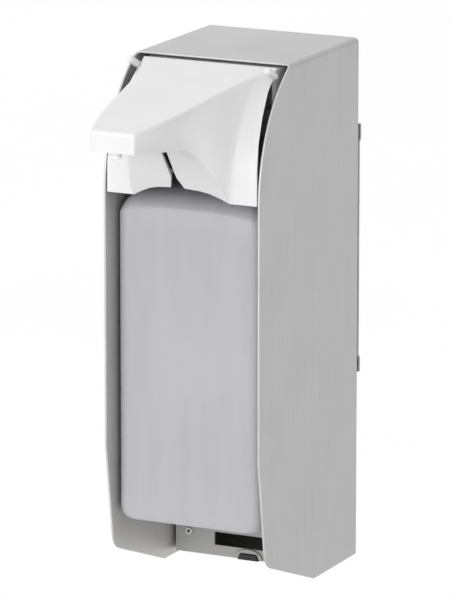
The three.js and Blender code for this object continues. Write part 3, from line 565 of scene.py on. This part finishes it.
def wall_front(shape):
    """The side walls' front edge from its lowest point up, as depth and height."""
    chin = Vector((shape.chin_depth, shape.chin_height))
    lean = Vector((SHELL_DEPTH, shape.lean_height))
    step = Vector((shape.step_depth, 0))
    behind = chin + (step - chin).normalized() * shape.chin_rounding
    above = chin + (lean - chin).normalized() * shape.chin_rounding
    centre = SHELL_DEPTH - shape.brow_radius
    sweep = math.acos((shape.top_depth - centre) / shape.brow_radius)
    low = SHELL_HEIGHT - shape.brow_radius * math.sin(sweep)
    bend_start = math.asin((SHELL_HEIGHT - shape.bend - low) / shape.brow_radius)
    edge = [step.lerp(behind, k / 4) for k in range(4)]
    edge += [
        behind.lerp(chin, t).lerp(chin.lerp(above, t), t) for t in (0, 0.17, 0.33, 0.5, 0.67, 0.83, 1)
    ]
    brow_foot = Vector((SHELL_DEPTH, low))
    edge += [lean, lean.lerp(brow_foot, 0.33), lean.lerp(brow_foot, 0.67)]
    for k in range(29):
        angle = bend_start * k / 28
        edge.append(Vector((centre, low)) + shape.brow_radius * Vector((math.cos(angle), math.sin(angle))))
    return edge, centre, low


def housing_mesh(shape):
    """The bent sheet's outer face: a grid over its girth, cut to the walls' front edge."""
    edge, centre, low = wall_front(shape)
    girth = [(SHELL_HALF, z, depth) for depth, z in edge]
    for k in range(1, 9):
        angle = math.pi / 2 * k / 8
        x = SHELL_HALF - shape.bend * (1 - math.cos(angle))
        z = SHELL_HEIGHT - shape.bend * (1 - math.sin(angle))
        depth = centre + math.sqrt(shape.brow_radius**2 - (z - low) ** 2)
        girth.append((x, z, depth))
    girth += [(x, SHELL_HEIGHT, shape.top_depth) for x in (SHELL_HALF * 0.5, 0)]
    girth += [(-x, z, depth) for x, z, depth in reversed(girth[:-1])]
    columns = 9
    bm = bmesh.new()
    grid(
        bm,
        len(girth),
        columns,
        lambda i, j: spot(girth[i][0], girth[i][2] * j / (columns - 1), girth[i][1]),
    )
    lengths = [0.0]
    for (x0, z0, _), (x1, z1, _) in zip(girth, girth[1:]):
        lengths.append(lengths[-1] + math.hypot(x1 - x0, z1 - z0) * MM)
    station = {(round(x, 3), round(z, 3)): s for (x, z, _), s in zip(girth, lengths)}
    layer = bm.loops.layers.uv.new("sheet")
    for face in bm.faces:
        for loop in face.loops:
            p = loop.vert.co
            key = (round(p.x / MM, 3), round((p.z - SHELL_LOW.z) / MM, 3))
            loop[layer].uv = (station[key], SHELL_HIGH.y - p.y)
    bmesh.ops.recalc_face_normals(bm, faces=bm.faces)
    probe = min(bm.faces, key=lambda f: f.calc_center_median().x)
    if probe.normal.x > 0:
        bmesh.ops.reverse_faces(bm, faces=bm.faces)
    return bm


def mark_unbrushed_and_painted_light_faces(mesh, sheet):
    """Marks the cut front edges and the inner side, which are paler than the brushed outside: partly their
    own unbrushed tone, partly painted light that lifts the shaded inside and paints a highlight along the
    front edges.
    """
    marks = mesh.attributes.new("unbrushed_and_painted_light", "FLOAT", "FACE")
    inner_half, inner_top = (SHELL_HALF - sheet * 0.6) * MM, SHELL_HIGH.z - sheet * 0.6 * MM
    for polygon in mesh.polygons:
        # Inside faces and front-facing cut edges take the painted light.
        inside = abs(polygon.center.x) < inner_half and polygon.center.z < inner_top
        marks.data[polygon.index].value = 1.0 if inside or polygon.normal.y < -0.3 else 0.0


class DISPENSER_OT_housing(bpy.types.Operator):
    """Makes the bent and brushed steel housing"""

    bl_idname = "dispenser.housing"
    bl_label = "Housing"

    def execute(self, context):
        shape = in_millimetres(context.scene.dispenser_housing)
        piece = place(
            housing_mesh(shape), "housing", "housing_shell", bevel=shape.cut_edge, solid=shape.sheet
        )
        mark_unbrushed_and_painted_light_faces(piece.data, shape.sheet)
        return {"FINISHED"}


# ---------------------------------------------------------------- lever


class LeverSurface:
    """The lever's outer surface, from its nose to its shoulders and down to the skirt."""

    def __init__(self, shape):
        self.shape = shape
        nose, half = NOSE_DEPTH, shape.nose_half
        skirt_depth = SHELL_DEPTH - SKIRT_GAP
        self.nose_top = HOOD_TOP - shape.nose_drop
        shoulder_top = HOOD_TOP + shape.shoulder_rise
        self.nose_low = self.nose_top - shape.nose_height

        def point(across, outward, height):
            x = half + across * (HOOD_HALF - half)
            return spot(x, skirt_depth + outward * (nose - skirt_depth), height)

        shoulder = spot(shape.shoulder_half, SHOULDER_DEPTH, shoulder_top)
        self.ridge = interpolate_bezier(
            spot(half, nose, self.nose_top),
            point(0.53, 0.4, HOOD_TOP - 8.3),
            point(0.28, 0.1, HOOD_TOP - 5),
            shoulder,
            120,
        )
        low = self.nose_low
        skirt_inner = spot(shape.skirt_half, skirt_depth, SKIRT_HEIGHT)
        curve = spline(
            [
                spot(half, nose, low),
                point(0.04, 0.6, low - 3.8),
                point(0.11, 0.4, low - 5.8),
                point(0.22, 0.27, low - 10),
                point(0.38, 0.17, low - 18.5),
                skirt_inner,
            ]
        )
        skirt_outer = spot(HOOD_HALF, skirt_depth, SKIRT_HEIGHT)
        self.curve = curve
        self.lower = curve + [skirt_inner.lerp(skirt_outer, k / 12) for k in range(1, 13)]
        self.outer = spline(
            [
                shoulder,
                spot(shape.shoulder_half + 1, SHELL_DEPTH - 19.5, HOOD_TOP - 8.6),
                spot(HOOD_HALF - 1.9, SHELL_DEPTH - 9.5, HOOD_TOP - 21.6),
                spot(HOOD_HALF - 0.8, SHELL_DEPTH - 3, HOOD_TOP - 34.6),
                spot(HOOD_HALF, skirt_depth, HOOD_TOP - 44.6),
                skirt_outer,
            ]
        )
        total = sum((b - a).length for a, b in zip(self.lower, self.lower[1:]))
        self.skirt_start = sum((b - a).length for a, b in zip(curve, curve[1:])) / total

    def flank(self, u, v):
        """A place on the side face: u runs from the nose to the wall, v from the ridge down."""
        top, bottom = at_share(self.ridge, u), at_share(self.lower, u)
        corner = [self.ridge[0], self.ridge[-1], self.lower[0], self.lower[-1]]
        nose, outer = corner[0].lerp(corner[2], v), at_share(self.outer, v)
        blend = corner[0].lerp(corner[1], u).lerp(corner[2].lerp(corner[3], u), v)
        return top.lerp(bottom, v) + nose.lerp(outer, u) - blend

    def throat(self, s, w):
        """A place on the underside: s climbs the slit, w runs from the lower edge in to the slit."""
        shape = self.shape
        edge = at_share(self.curve, 1 - 0.5 * s)
        opened = max(0, 1 - s * shape.throat_climb / shape.notch_rise)
        slit = spot(
            shape.slit_half + (shape.notch_half - shape.slit_half) * opened,
            SHELL_DEPTH + shape.throat_reach + shape.throat_length * s,
            SKIRT_HEIGHT + shape.throat_rise + shape.throat_climb * s,
        )
        place_on = edge.lerp(slit, w)
        place_on.z += shape.arch * MM * (1 - s) * math.sin(math.pi * w)
        place_on.y += shape.lip * MM * max(0, w - 0.8) / 0.2
        return place_on


def lever_mesh(shape):
    """One skin: top, flanks, nose face and the two throat panels, mirrored about the middle."""
    surface = LeverSurface(shape)
    bm = bmesh.new()
    start = surface.skirt_start
    rows = [0, 0.02, 0.045, 0.1, 0.17, 0.25, 0.33, 0.41]
    rows += [start * k for k in (0.5, 0.6, 0.7, 0.8, 0.9, 1)]
    rows = sorted(set(round(r, 4) for r in rows if r <= start + 1e-6))
    rest = (1 - start) / 4
    rows += [start + rest * k for k in (1, 2, 3)] + [0.985, 1]
    steps, fillet, crease = 8, shape.fillet * MM, shape.crease * MM
    lines = []
    for u in rows:
        height = (surface.flank(u, 1) - surface.flank(u, 0)).length
        first, last = fillet / height, 1 - crease / height
        inner = [first + (last - first) * k / (steps - 3) for k in range(steps - 2)]
        lines.append([surface.flank(u, v) for v in (0, *inner, 1)])
    grid(bm, len(rows), steps, lambda i, j: lines[i][j])

    def inwards(edge, j):
        """A place between the middle and an edge, with the last line a fillet's width from it."""
        return Vector((edge.x * (0, 0.5, 1 - fillet / edge.x, 1)[j], edge.y, edge.z))

    grid(bm, len(rows), 4, lambda i, j: inwards(lines[i][0], j))
    grid(bm, steps, 4, lambda i, j: inwards(lines[0][i], j))
    climbs = [0, 0.03, 0.11, 0.19, 0.22, 0.4, 0.6, 0.8, 1]
    ins = [0, 0.2, 0.45, 0.68, 0.78, 0.82, 0.97, 1]
    grid(bm, len(climbs), len(ins), lambda i, j: surface.throat(climbs[i], ins[j]))
    bmesh.ops.mirror(bm, geom=bm.verts[:] + bm.edges[:] + bm.faces[:], axis="X", merge_dist=0.00005)
    tidied(bm, 0.02)
    probe = max(bm.faces, key=lambda f: f.calc_center_median().z)
    if probe.normal.z < 0:
        bmesh.ops.reverse_faces(bm, faces=bm.faces)
    return bm


def lever_arms(shape):
    """The two arms with their eyes and the rib between them, behind the hood's rear edge."""
    bm = copied("lever_hood")
    edge = spot(0, shape.rear_edge, 0)
    everything = bm.verts[:] + bm.edges[:] + bm.faces[:]
    bmesh.ops.bisect_plane(bm, geom=everything, plane_co=edge, plane_no=(0, -1, 0), clear_outer=True)
    bmesh.ops.holes_fill(bm, edges=[edge for edge in bm.edges if edge.is_boundary])
    return tidied(bm)


class DISPENSER_OT_lever(bpy.types.Operator):
    """Makes the white press lever with its nose, skirt and arms"""

    bl_idname = "dispenser.lever"
    bl_label = "Lever"

    def execute(self, context):
        shape = in_millimetres(context.scene.dispenser_lever)
        piece = place(lever_mesh(shape), "lever", "lever_hood", solid=shape.wall, levels=2, smooth=60)
        add_to(piece, lever_arms(shape))
        return {"FINISHED"}


# ---------------------------------------------------------------- bottle


def eased(share, half, radius):
    """Spreads a cube's even divisions so that half of them lie in the rounding."""
    inner = half - radius
    part = abs(share) * 2
    reach = part * inner if part <= 1 else inner + (part - 1) * radius
    return math.copysign(reach, share)


def bottle_body(bm, shape):
    """A box with rounded upright corners, a rounded base and a sloping shoulder above a bowed crease."""
    top = spot(0, 0, shape.shoulder).z
    size = Vector((BOTTLE_HIGH.x, (BOTTLE_HIGH.y - BOTTLE_LOW.y) / 2, (top - BOTTLE_LOW.z) / 2))
    middle = Vector((0, (BOTTLE_HIGH.y + BOTTLE_LOW.y) / 2, BOTTLE_LOW.z + size.z))
    corner = shape.corner * MM
    bmesh.ops.create_cube(bm, size=2)
    bmesh.ops.subdivide_edges(bm, edges=bm.edges[:], cuts=27, use_grid_fill=True)
    for vertex in bm.verts:
        plan = Vector(eased(vertex.co[k], size[k], corner) for k in range(2))
        flat = Vector(max(corner - size[k], min(size[k] - corner, plan[k])) for k in range(2))
        over = plan - flat
        if over.length > 1e-9:
            over *= max(abs(c) for c in over) / over.length
        plan = flat + over
        part = abs(vertex.co.z) * 2
        share = max(0.0, part - 1)
        angle = math.pi / 2 * share
        if vertex.co.z < 0:
            rise = shape.base_rise * MM
            level = -min(part, 1) * (size.z - rise) - rise * math.sin(angle)
            turned_in = MM * (1 - math.cos(angle))
            inset, front = shape.base_inset * turned_in, shape.base_front * turned_in
        else:
            crease = size.z - shape.droop * MM * abs(plan.x / size.x) ** 3
            near = (1 - (plan.x / size.x) ** 6) * (1 - (plan.y / size.y) ** 6)
            flat_top = size.z + (shape.end_rise + shape.dome * max(near, 0)) * MM
            climb = 0.55 * math.sin(angle) + 0.45 * share
            level = min(part, 1) * crease + (flat_top - crease) * climb
            inset = front = shape.end_inset * MM * (0.55 * (1 - math.cos(angle)) + 0.45 * share)
        p = Vector((plan.x * (1 - inset / size.x), plan.y * (1 - front / size.y), level))
        vertex.co = p + middle
    return middle


class DISPENSER_OT_bottle(bpy.types.Operator):
    """Makes the milky bottle with its domed shoulder and neck"""

    bl_idname = "dispenser.bottle"
    bl_label = "Bottle"

    def execute(self, context):
        shape = in_millimetres(context.scene.dispenser_bottle)
        bm = bmesh.new()
        middle = bottle_body(bm, shape)
        top = NECK_LENGTH
        profile = [(12.0, 0), (15.0, 0), (15.0, 4), (15.4, 6), (16.3, 6.6), (16.3, 7.6)]
        profile += [(15.2, 8.4), (15.2, 10), (16.1, 10.6), (16.1, 11.6), (15.2, 12.4)]
        profile += [(15.2, top - 0.8), (14.6, top), (13.8, top), (13.5, top - 0.5), (13.5, 1), (12.0, 0)]
        turned(bm, profile, Vector((0, middle.y, BOTTLE_HIGH.z - NECK_LENGTH * MM)), 48)
        bmesh.ops.recalc_face_normals(bm, faces=bm.faces)
        place(bm, "bottle_milky", "bottle", smooth=50)
        return {"FINISHED"}


# ---------------------------------------------------------------- small pieces


def soften_all(nodes, edge):
    """Copies of CAD nodes, their edges rounded as deburred or moulded pieces have them."""
    for node in nodes:
        place(copied(node), node + "_piece", node, bevel=edge)


def both(stem):
    """The node names of a left and right pair."""
    return [f"{stem}_{side}" for side in ("left", "right")]


class DISPENSER_OT_bracket(bpy.types.Operator):
    """Finishes the bottle's bracket with its tab, buffer, rivet nuts and rivets"""

    bl_idname = "dispenser.bracket"
    bl_label = "Bracket"

    def execute(self, context):
        soften_all(["bottle_bracket", "catch_tab", "rubber_buffer"], 0.3)
        soften_all(both("rivet_nut") + both("bracket_rivet"), 0.18)
        return {"FINISHED"}


class DISPENSER_OT_wall_parts(bpy.types.Operator):
    """Finishes the wall plate, the back panel and their screws"""

    bl_idname = "dispenser.wall_parts"
    bl_label = "Wall parts"

    def execute(self, context):
        soften_all(["wall_plate", "back_panel"], 0.3)
        soften_all(both("plate_screw"), 0.2)
        return {"FINISHED"}


class DISPENSER_OT_hinges(bpy.types.Operator):
    """Finishes the hinge blocks with their pins and screws"""

    bl_idname = "dispenser.hinges"
    bl_label = "Hinges"

    def execute(self, context):
        soften_all(both("hinge_block"), 0.4)
        soften_all(both("hinge_pin") + both("hinge_screw"), 0.2)
        return {"FINISHED"}


class DISPENSER_OT_pegs(bpy.types.Operator):
    """Makes the lever's two round-ended pegs"""

    bl_idname = "dispenser.pegs"
    bl_label = "Pegs"

    def execute(self, context):
        soften_all(both("hood_peg"), 0.25)
        return {"FINISHED"}


def nozzle_tip():
    """The outlet under the nose: a ringed tip with a deep bore."""
    low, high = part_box("nozzle")
    radius = (high.x - low.x) / 2 / MM
    length = (high.z - low.z) / MM
    bm = bmesh.new()
    groove, bore = radius - 0.5, radius - 1.15
    profile = [(radius, length), (radius, length * 0.55), (groove, length * 0.5), (groove, length * 0.4)]
    profile += [(radius, length * 0.34), (radius, 0.35), (radius - 0.25, 0), (radius - 1.0, 0)]
    profile += [(bore, 0.3), (bore, length), (radius, length)]
    turned(bm, profile, Vector((0, (low.y + high.y) / 2, low.z)), 32)
    tidied(bm)
    place(bm, "nozzle_tip", "nozzle", smooth=35)


class DISPENSER_OT_pump(bpy.types.Operator):
    """Finishes the pump, its carrier and the spout that rides in the lever"""

    bl_idname = "dispenser.pump"
    bl_label = "Pump"

    def execute(self, context):
        soften_all(["pump_carrier", *both("carrier_rivet")], 0.2)
        soften_all(["pump_cylinder", "cylinder_cap", "ball_cage", "piston_rod", "spout"], 0.2)
        nozzle_tip()
        soften_all(["pump_gasket", "piston_seal", "spout_seal"], 0.15)
        for node in ("dip_tube", "inlet_ball", "pump_spring"):
            frame["nodes"][node].material_slots[0].material = FINISH_OF[SLOT_OF[node]]
        return {"FINISHED"}


# ---------------------------------------------------------------- stage


def area_light(name, place_at, target, size, power):
    light = bpy.data.lights.new(name, "AREA")
    light.shape, light.size, light.energy = "SQUARE", size, power
    lamp = bpy.data.objects.new(name, light)
    bpy.context.scene.collection.objects.link(lamp)
    lamp.location = place_at
    lamp.rotation_euler = (target - place_at).to_track_quat("-Z", "Y").to_euler()


def white_surround(scene, studio):
    """A white world that is a little darker on the right, where the housing's wall is shaded."""
    world = bpy.data.worlds.new("studio")
    scene.world = world
    world.use_nodes = True
    tree = world.node_tree
    background = tree.nodes["Background"]
    source = tree.nodes.new("ShaderNodeTexCoord")
    split = tree.nodes.new("ShaderNodeSeparateXYZ")
    level = tree.nodes.new("ShaderNodeMapRange")
    tree.links.new(source.outputs["Generated"], split.inputs[0])
    tree.links.new(split.outputs["X"], level.inputs["Value"])
    range_ends = {"From Min": -0.2, "From Max": 0.8, "To Min": studio.sky, "To Max": studio.shade}
    for key, value in range_ends.items():
        level.inputs[key].default_value = value
    background.inputs["Color"].default_value = (1, 1, 1, 1)
    tree.links.new(level.outputs["Result"], background.inputs["Strength"])


class DISPENSER_OT_stage(bpy.types.Operator):
    """Sets the camera, the soft studio light and the pale floor, which has a painted shade under the
    dispenser
    """

    bl_idname = "dispenser.stage"
    bl_label = "Stage"

    def execute(self, context):
        scene = context.scene
        studio = scene.dispenser_studio
        target = spot(*AIM)
        turn, tilt = studio.azimuth, studio.elevation
        back = Vector(
            (math.sin(turn) * math.cos(tilt), -math.cos(turn) * math.cos(tilt), math.sin(tilt))
        )
        camera = bpy.data.objects.new("camera", bpy.data.cameras.new("camera"))
        scene.collection.objects.link(camera)
        camera.data.lens, camera.data.sensor_width = studio.lens, SENSOR_WIDTH
        camera.data.clip_start, camera.data.clip_end = 0.05, 60
        camera.location = target + back * studio.distance
        camera.rotation_euler = (-back).to_track_quat("-Z", "Y").to_euler()
        scene.camera = camera
        middle = Vector((0, target.y, target.z))
        area_light("front softbox", middle + Vector(KEY_AT), middle, KEY_SIZE, studio.key_power)
        area_light("fill", middle + Vector(FILL_AT), middle, FILL_SIZE, studio.fill_power)
        white_surround(scene, studio)
        bm = bmesh.new()
        bmesh.ops.create_grid(bm, x_segments=1, y_segments=1, size=FLOOR_HALF)
        mesh = bpy.data.meshes.new("floor")
        bm.to_mesh(mesh)
        bm.free()
        floor = bpy.data.objects.new("floor", mesh)
        scene.collection.objects.link(floor)
        floor.location.z = SHELL_LOW.z - studio.floor_drop
        pale = Nodes("pale floor")
        clouds = pale.noise(pale.object, 0.8, 2.0, 0.5)
        # Painted shade: the floor is grey under the dispenser and fades to pale further out, which also
        # dims the light bounced onto the lever's undersides.
        away = pale.add("ShaderNodeVectorMath", operation="LENGTH")
        pale.link(pale.object, away.inputs[0])
        clear = pale.spread(away.outputs["Value"], 0.0, 1.0, studio.shade_near, studio.shade_far)
        mixed = pale.add("ShaderNodeMix", data_type="RGBA")
        pale.link(clear, mixed.inputs[0])
        # Grey of the painted shade, then the pale far floor.
        pale.link(pale.tint(clouds, (0.4, 0.4, 0.4), (0.43, 0.43, 0.43)), mixed.inputs[6])
        pale.link(pale.tint(clouds, (0.96, 0.96, 0.96), (0.98, 0.98, 0.98)), mixed.inputs[7])
        pale.wire(Base_Color=mixed.outputs[2])
        pale.fix(Roughness=0.9, Emission_Color=(1, 1, 1, 1), Emission_Strength=studio.glow)
        mesh.materials.append(pale.material)
        scene.view_settings.view_transform = "Standard"
        return {"FINISHED"}


# ---------------------------------------------------------------- add-on


class DISPENSER_PT_panel(bpy.types.Panel):
    bl_idname = "DISPENSER_PT_panel"
    bl_label = "Soap dispenser"
    bl_space_type = "VIEW_3D"
    bl_region_type = "UI"
    bl_category = "Dispenser"

    def draw(self, context):
        for operator in OPERATORS:
            self.layout.operator(operator.bl_idname)
        for key in GROUPS:
            box = self.layout.box()
            group = getattr(context.scene, key)
            for name in group.bl_rna.properties.keys():
                if name not in ("rna_type", "name"):
                    box.prop(group, name)


GROUPS = {
    "dispenser_housing": HousingShape,
    "dispenser_lever": LeverShape,
    "dispenser_bottle": BottleShape,
    "dispenser_finishes": Finishes,
    "dispenser_studio": Studio,
}
OPERATORS = (
    DISPENSER_OT_housing,
    DISPENSER_OT_lever,
    DISPENSER_OT_pegs,
    DISPENSER_OT_bottle,
    DISPENSER_OT_bracket,
    DISPENSER_OT_wall_parts,
    DISPENSER_OT_hinges,
    DISPENSER_OT_pump,
    DISPENSER_OT_stage,
)


def register():
    for kind in (*GROUPS.values(), *OPERATORS, DISPENSER_PT_panel):
        bpy.utils.register_class(kind)
    for key, kind in GROUPS.items():
        setattr(bpy.types.Scene, key, PointerProperty(type=kind))


def unregister():
    for key in GROUPS:
        delattr(bpy.types.Scene, key)
    for kind in (DISPENSER_PT_panel, *reversed(OPERATORS), *GROUPS.values()):
        bpy.utils.unregister_class(kind)


def main():
    register()
    make_finishes(bpy.context.scene.dispenser_finishes)
    for operator in OPERATORS:
        area, name = operator.bl_idname.split(".")
        getattr(getattr(bpy.ops, area), name)()


if __name__ == "__main__":
    main()
